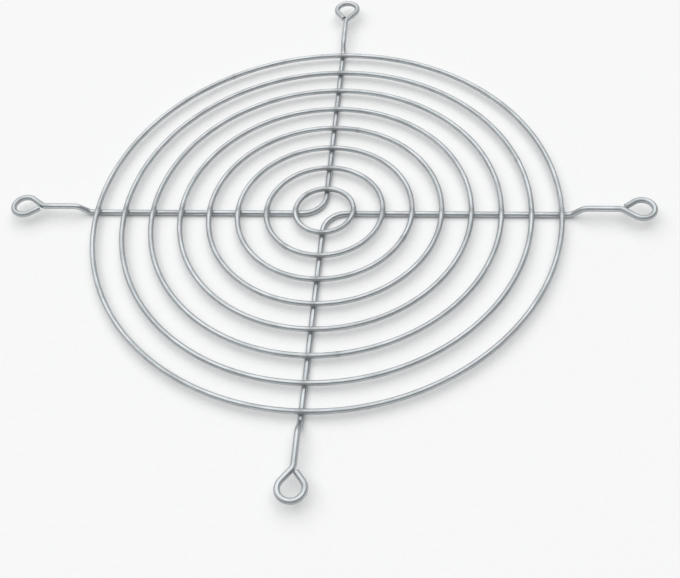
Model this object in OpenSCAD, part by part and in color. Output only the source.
// Wire fan guard for a 120 mm fan, in ten round wires: eight rings lying on two
// L-bent spoke wires, whose ends are curled into the four screw eyelets.
// Millimetres. X runs along one pair of arms, Y along the other, Z up. The origin
// is on the guard's axis at its underside, where the spoke wires rest.

/* [Rings] */
// Step from one ring's radius to the next, and the innermost radius
ring_pitch = 7; // [6.6:0.1:7.4]
// Diameter of the ring wire
ring_wire_d = 1.3; // [1:0.1:1.8]

/* [Spokes] */
// Diameter of the spoke wire
spoke_wire_d = 1.4; // [1.2:0.1:2]
// Bend radius of the L, to the wire's centre line
corner_r = 5.5; // [4:0.1:5.8]
// How deep a ring is set into the spoke wire at a weld
weld_depth = 0.2; // [0.1:0.05:0.3]

/* [Joggles] */
// From the outer ring's centre line to where an arm starts to rise
joggle_gap = 1.3; // [0.8:0.1:2]
// How far an arm rises to its eyelet
lift = 2.2; // [1.8:0.1:3]
// Bend radius of the two joggle bends, to the wire's centre line
joggle_r = 2.5; // [2:0.1:3]

/* [Screw eyelets] */
// Side of the square of screw holes
hole_square = 105; // [104:0.5:107]
// Clear hole through an eyelet
hole_d = 4.3; // [3.8:0.1:5]
// Depth of the flat the forming pin leaves round the inside of an eyelet
land_depth = 0.05; // [0.03:0.01:0.1]
// Bend radius where an arm turns aside into its eyelet, to the centre line
neck_r = 2.2; // [1.5:0.1:3]
// Gap between an eyelet's cut tip and its arm
tip_gap = 0.15; // [0.1:0.05:0.4]

/* [Hidden] */
$fn = 64;
ring_count = 8;
spoke_z = spoke_wire_d / 2;
ring_z = spoke_wire_d + ring_wire_d / 2 - weld_depth;
arm_z = spoke_z + lift;

// Joggles and eyelets bend by the angle of a 3-4-5 triangle. The straights between
// two bends are cut to a thousandth of a millimetre and the bend radius takes up
// what is left, so each length of wire starts exactly where the last one ends
bend_a = atan(3 / 4);
function cut(len) = round(len * 1000) / 1000;

joggle_x = ring_count * ring_pitch + joggle_gap;
slope_len = cut((lift - 2 * joggle_r * (1 - cos(bend_a))) / sin(bend_a));
slope_r = (lift - slope_len * sin(bend_a)) / (1 - cos(bend_a)) / 2;
bend_run = slope_r * sin(bend_a);
bend_rise = slope_r * (1 - cos(bend_a));
joggle_len = 2 * bend_run + slope_len * cos(bend_a);

// The screw circle, to a hundredth of a millimetre
eye_x = round(hole_square / sqrt(2) * 100) / 100;
loop_r = hole_d / 2 + spoke_wire_d / 2 - land_depth;
side_len = cut((loop_r * cos(bend_a) - neck_r * (1 - cos(bend_a))) / sin(bend_a));
turn_r = (loop_r * cos(bend_a) - side_len * sin(bend_a)) / (1 - cos(bend_a));
neck_x = -(loop_r + turn_r) * sin(bend_a) - side_len * cos(bend_a);
tip_len = loop_r / tan(bend_a)
        - (spoke_wire_d / 2 * (1 + cos(2 * bend_a)) + tip_gap) / sin(2 * bend_a);
flat_len = eye_x + neck_x - joggle_x - joggle_len;

metal = [0.78, 0.79, 0.8];

// One ring, counted from the middle
module ring(n) {
    translate([0, 0, ring_z])
        rotate_extrude() translate([n * ring_pitch, 0]) circle(d = ring_wire_d);
}

// Straight spoke wire from the origin along +X
module run(len) {
    rotate([0, 90, 0]) cylinder(d = spoke_wire_d, h = len);
}

// Spoke wire curved in the XY plane about the origin, from one angle to another
module arc(r, from, to) {
    rotate([0, 0, from])
        rotate_extrude(angle = to - from) translate([r, 0]) circle(d = spoke_wire_d);
}

// The rise from the rings' level to the eyelet's, in the XZ plane
module joggle() {
    translate([joggle_x, 0, spoke_z]) rotate([90, 0, 0]) {
        translate([0, slope_r, 0]) arc(slope_r, -90, bend_a - 90);
        translate([bend_run, bend_rise, 0]) rotate([0, 0, bend_a]) run(slope_len);
        translate([joggle_len, lift - slope_r, 0]) arc(slope_r, 90, 90 + bend_a);
    }
}

// The eyelet about its own hole, its arm coming in along +X: the wire turns
// aside, goes round, and its cut tip comes back against the arm
module eyelet() {
    translate([neck_x, -turn_r, 0]) {
        arc(turn_r, 90 - bend_a, 90);
        rotate([0, 0, -bend_a]) translate([0, turn_r, 0]) run(side_len);
    }
    arc(loop_r, -90 - bend_a, 90 + bend_a);
    rotate([0, 0, 180 + bend_a]) translate([0, -loop_r, 0]) run(tip_len);
}

// Half a spoke wire along +X, from the end of the L's bend to the eyelet
module arm() {
    translate([corner_r, 0, spoke_z]) run(joggle_x - corner_r);
    joggle();
    translate([joggle_x + joggle_len, 0, arm_z]) run(flat_len);
    difference() {
        translate([eye_x, 0, arm_z]) eyelet();
        translate([eye_x, 0, arm_z - spoke_wire_d]) cylinder(d = hole_d, h = 2 * spoke_wire_d);
    }
}

// A whole spoke wire, with a saddle under each ring it is welded to
module spoke() {
    difference() {
        union() {
            arm();
            rotate([0, 0, -90]) arm();
            translate([corner_r, -corner_r, spoke_z]) arc(corner_r, 90, 180);
        }
        for (n = [1 : ring_count]) ring(n);
    }
}

module ring_1() color(metal) ring(1);
module ring_2() color(metal) ring(2);
module ring_3() color(metal) ring(3);
module ring_4() color(metal) ring(4);
module ring_5() color(metal) ring(5);
module ring_6() color(metal) ring(6);
module ring_7() color(metal) ring(7);
module ring_8() color(metal) ring(8);
module spoke_right_front() color(metal) spoke();
module spoke_left_rear() color(metal) rotate([0, 0, 180]) spoke();

ring_1();
ring_2();
ring_3();
ring_4();
ring_5();
ring_6();
ring_7();
ring_8();
spoke_right_front();
spoke_left_rear();
